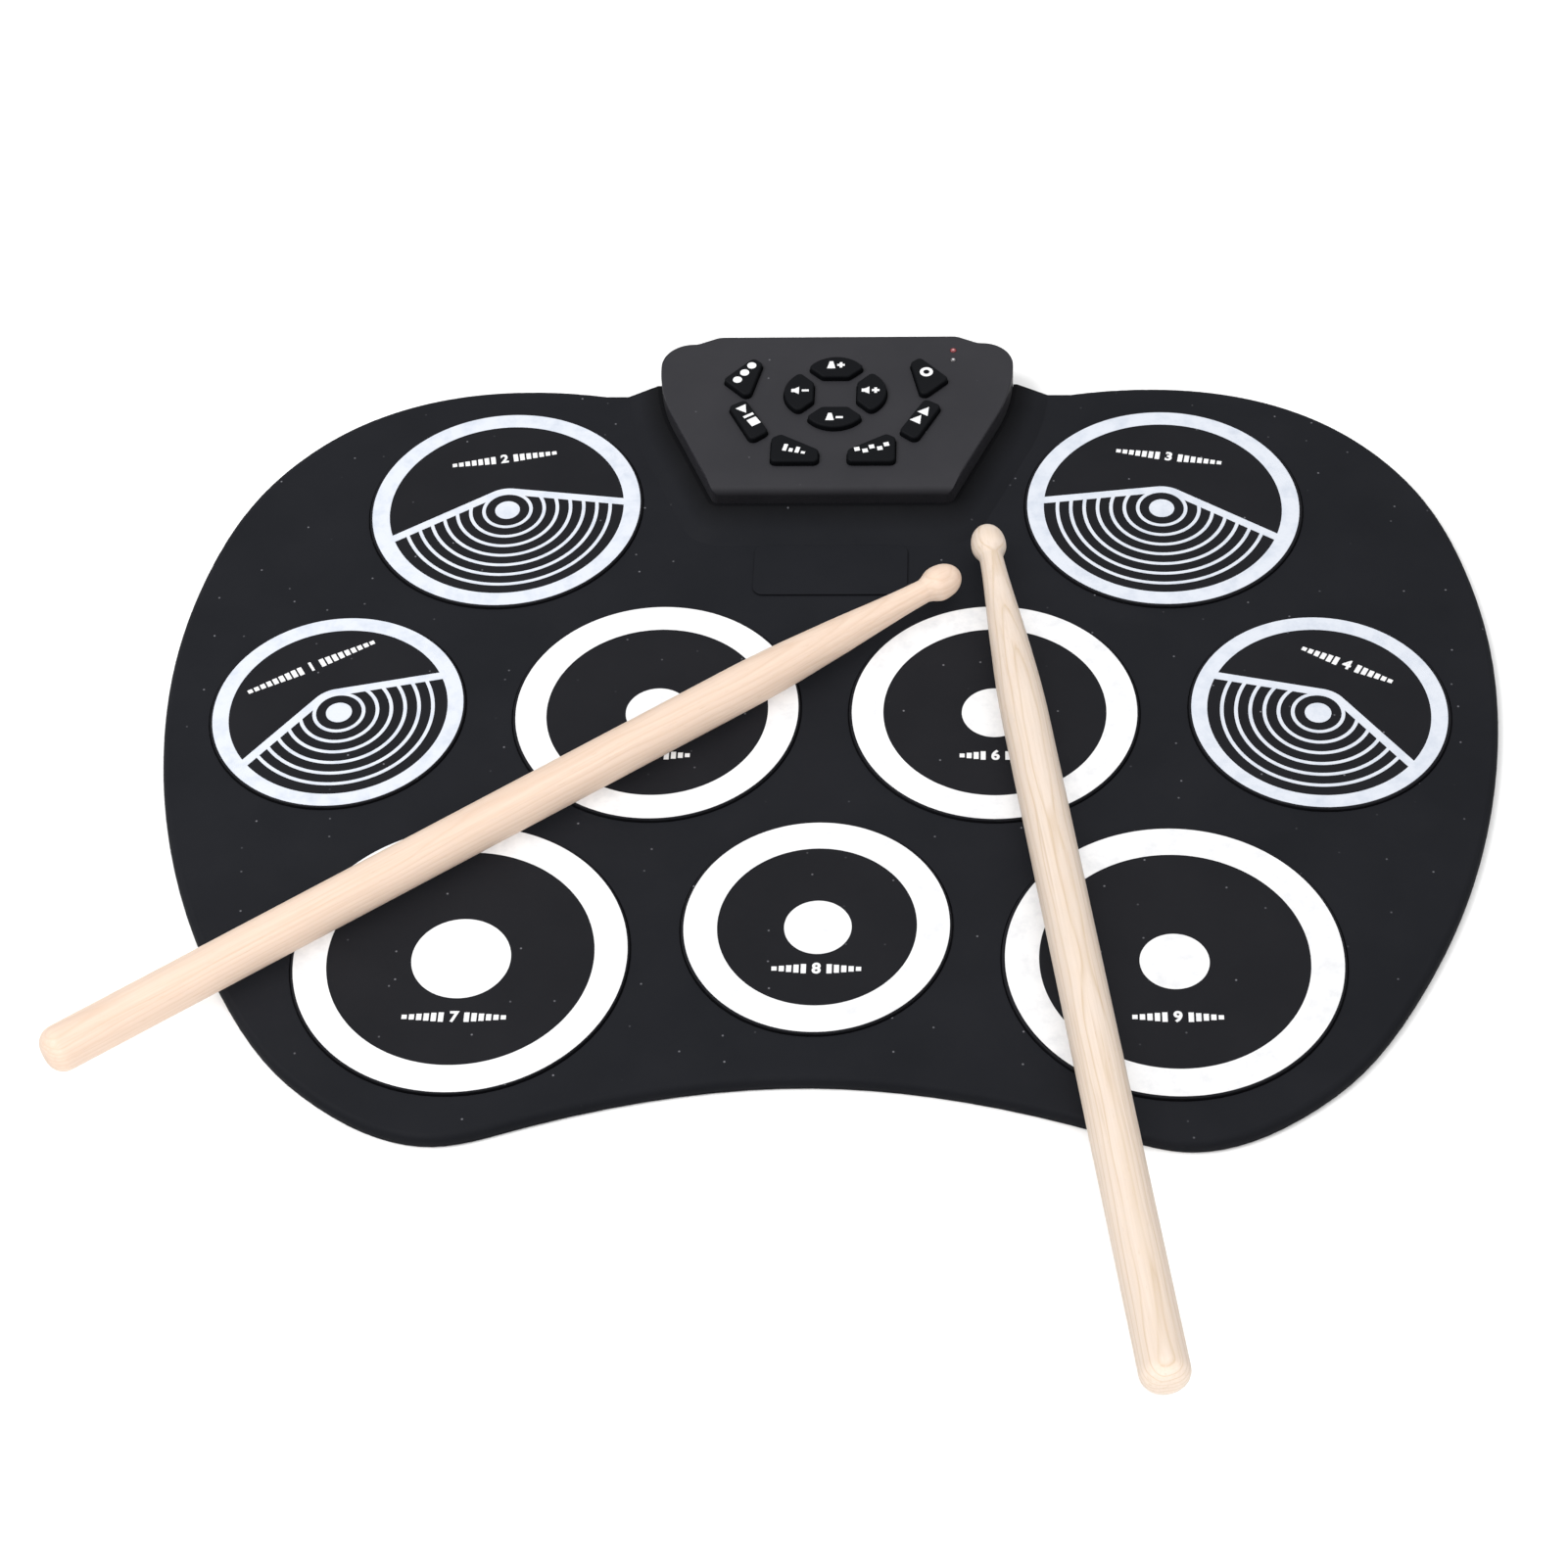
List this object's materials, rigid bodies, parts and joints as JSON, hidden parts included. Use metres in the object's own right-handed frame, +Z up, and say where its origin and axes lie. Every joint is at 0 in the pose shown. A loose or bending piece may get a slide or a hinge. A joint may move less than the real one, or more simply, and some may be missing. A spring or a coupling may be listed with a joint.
{
  "type": "electronic drum pad",
  "caption": "Roll-up silicone drum mat with round playing pads, a control box with rubber keys in its rear edge, and two wooden drumsticks lying across the pads.",
  "frame": {"origin": "on the mat's underside, on the mirror plane of the mat, midway between its sides and near the middle of its depth", "axes": "+X to the player's right along the mat, +Y away from the player towards the control box, +Z up"},
  "size_m": [0.4905, 0.4646, 0.0219],
  "materials": {
    "mat_silicone": "matte moulded silicone",
    "pad_silicone": "matte moulded silicone",
    "white_print": "satin silicone ink",
    "foam": "open-cell foam",
    "film": "polyester film",
    "sensor": "carbon ink",
    "case_plastic": "fine moulded texture",
    "case_black": "fine moulded texture",
    "key_rubber": "satin rubber",
    "circuit_board": "solder mask",
    "chip": "moulded epoxy",
    "capacitor": "bright can",
    "carbon": "carbon ink",
    "lamp_red": "tinted lens",
    "lamp_clear": "milky lens",
    "socket_plastic": "moulded",
    "socket_metal": "tinned shell",
    "screw_steel": "zinc plated",
    "foot_rubber": "matte",
    "stick_wood": "bare turned wood"
  },
  "bodies": {
    "base": {"mat_base": "mat_silicone", "mat_skin": "mat_silicone", "blank_plate": "mat_silicone", "sensor_film": "film", "pad_sensors": "sensor", "box_bottom_shell": "case_black", "box_top_shell": "case_plastic", "main_board": "circuit_board", "board_chips": "chip", "board_capacitors": "capacitor", "key_contacts": "carbon", "keypad_sheet": "key_rubber", "led_power": "lamp_red", "led_status": "lamp_clear", "headphone_jack": "socket_plastic", "pedal_jacks": "socket_plastic", "usb_socket": "socket_metal", "power_switch_body": "socket_plastic", "flex_connector": "socket_plastic", "flex_clamp_bar": "case_plastic", "shell_screws": "screw_steel", "board_screws": "screw_steel", "box_feet": "foot_rubber", "cushion_crash_left": "foam", "cushion_crash_right": "foam", "cushion_hihat": "foam", "cushion_ride": "foam", "cushion_tom_high": "foam", "cushion_tom_low": "foam", "cushion_snare": "foam", "cushion_tom_floor": "foam", "cushion_bass": "foam"},
    "pad_crash_left": {"pad_crash_left": "pad_silicone"},
    "pad_crash_right": {"pad_crash_right": "pad_silicone"},
    "pad_hihat": {"pad_hihat": "pad_silicone"},
    "pad_ride": {"pad_ride": "pad_silicone"},
    "pad_tom_high": {"pad_tom_high": "pad_silicone"},
    "pad_tom_low": {"pad_tom_low": "pad_silicone"},
    "pad_snare": {"pad_snare": "pad_silicone"},
    "pad_tom_floor": {"pad_tom_floor": "pad_silicone"},
    "pad_bass": {"pad_bass": "pad_silicone"},
    "key_tempo_up": {"key_tempo_up": "key_rubber"},
    "key_volume_down": {"key_volume_down": "key_rubber"},
    "key_tempo_down": {"key_tempo_down": "key_rubber"},
    "key_volume_up": {"key_volume_up": "key_rubber"},
    "key_upper_left": {"key_upper_left": "key_rubber"},
    "key_upper_right": {"key_upper_right": "key_rubber"},
    "key_side_left": {"key_side_left": "key_rubber"},
    "key_side_right": {"key_side_right": "key_rubber"},
    "key_lower_left": {"key_lower_left": "key_rubber"},
    "key_lower_right": {"key_lower_right": "key_rubber"},
    "power_slider": {"power_switch_slider": "socket_plastic"},
    "stick_left": {"drumstick_left": "stick_wood"},
    "stick_right": {"drumstick_right": "stick_wood"}
  },
  "joints": [
    {"name": "crash_left_strike", "type": "slide", "parent": "base", "child": "pad_crash_left", "axis": [0, 0, -1], "range_m": [0, 0.0006], "stiffness_N_per_m": 2500, "springref_m": -0.0004, "deforming": ["cushion_crash_left"]},
    {"name": "crash_right_strike", "type": "slide", "parent": "base", "child": "pad_crash_right", "axis": [0, 0, -1], "range_m": [0, 0.0006], "stiffness_N_per_m": 2500, "springref_m": -0.0004, "deforming": ["cushion_crash_right"]},
    {"name": "hihat_strike", "type": "slide", "parent": "base", "child": "pad_hihat", "axis": [0, 0, -1], "range_m": [0, 0.0006], "stiffness_N_per_m": 2500, "springref_m": -0.0004, "deforming": ["cushion_hihat"]},
    {"name": "ride_strike", "type": "slide", "parent": "base", "child": "pad_ride", "axis": [0, 0, -1], "range_m": [0, 0.0006], "stiffness_N_per_m": 2500, "springref_m": -0.0004, "deforming": ["cushion_ride"]},
    {"name": "tom_high_strike", "type": "slide", "parent": "base", "child": "pad_tom_high", "axis": [0, 0, -1], "range_m": [0, 0.0006], "stiffness_N_per_m": 2500, "springref_m": -0.0004, "deforming": ["cushion_tom_high"]},
    {"name": "tom_low_strike", "type": "slide", "parent": "base", "child": "pad_tom_low", "axis": [0, 0, -1], "range_m": [0, 0.0006], "stiffness_N_per_m": 2500, "springref_m": -0.0004, "deforming": ["cushion_tom_low"]},
    {"name": "snare_strike", "type": "slide", "parent": "base", "child": "pad_snare", "axis": [0, 0, -1], "range_m": [0, 0.0006], "stiffness_N_per_m": 2500, "springref_m": -0.0004, "deforming": ["cushion_snare"]},
    {"name": "tom_floor_strike", "type": "slide", "parent": "base", "child": "pad_tom_floor", "axis": [0, 0, -1], "range_m": [0, 0.0006], "stiffness_N_per_m": 2500, "springref_m": -0.0004, "deforming": ["cushion_tom_floor"]},
    {"name": "bass_strike", "type": "slide", "parent": "base", "child": "pad_bass", "axis": [0, 0, -1], "range_m": [0, 0.0006], "stiffness_N_per_m": 2500, "springref_m": -0.0004, "deforming": ["cushion_bass"]},
    {"name": "tempo_up_press", "type": "slide", "parent": "base", "child": "key_tempo_up", "axis": [0, 0, -1], "range_m": [0, 0.001], "stiffness_N_per_m": 400, "springref_m": -0.0005},
    {"name": "volume_down_press", "type": "slide", "parent": "base", "child": "key_volume_down", "axis": [0, 0, -1], "range_m": [0, 0.001], "stiffness_N_per_m": 400, "springref_m": -0.0005},
    {"name": "tempo_down_press", "type": "slide", "parent": "base", "child": "key_tempo_down", "axis": [0, 0, -1], "range_m": [0, 0.001], "stiffness_N_per_m": 400, "springref_m": -0.0005},
    {"name": "volume_up_press", "type": "slide", "parent": "base", "child": "key_volume_up", "axis": [0, 0, -1], "range_m": [0, 0.001], "stiffness_N_per_m": 400, "springref_m": -0.0005},
    {"name": "upper_left_press", "type": "slide", "parent": "base", "child": "key_upper_left", "axis": [0, 0, -1], "range_m": [0, 0.001], "stiffness_N_per_m": 400, "springref_m": -0.0005},
    {"name": "upper_right_press", "type": "slide", "parent": "base", "child": "key_upper_right", "axis": [0, 0, -1], "range_m": [0, 0.001], "stiffness_N_per_m": 400, "springref_m": -0.0005},
    {"name": "side_left_press", "type": "slide", "parent": "base", "child": "key_side_left", "axis": [0, 0, -1], "range_m": [0, 0.001], "stiffness_N_per_m": 400, "springref_m": -0.0005},
    {"name": "side_right_press", "type": "slide", "parent": "base", "child": "key_side_right", "axis": [0, 0, -1], "range_m": [0, 0.001], "stiffness_N_per_m": 400, "springref_m": -0.0005},
    {"name": "lower_left_press", "type": "slide", "parent": "base", "child": "key_lower_left", "axis": [0, 0, -1], "range_m": [0, 0.001], "stiffness_N_per_m": 400, "springref_m": -0.0005},
    {"name": "lower_right_press", "type": "slide", "parent": "base", "child": "key_lower_right", "axis": [0, 0, -1], "range_m": [0, 0.001], "stiffness_N_per_m": 400, "springref_m": -0.0005},
    {"name": "power_switch_slide", "type": "slide", "parent": "base", "child": "power_slider", "axis": [1, 0, 0], "range_m": [0, 0.003]},
    {"name": "stick_left_lift", "type": "slide", "parent": "base", "child": "stick_left", "axis": [0, 0, 1], "range_m": [0, 0.12]},
    {"name": "stick_right_lift", "type": "slide", "parent": "base", "child": "stick_right", "axis": [0, 0, 1], "range_m": [0, 0.12]}
  ]
}
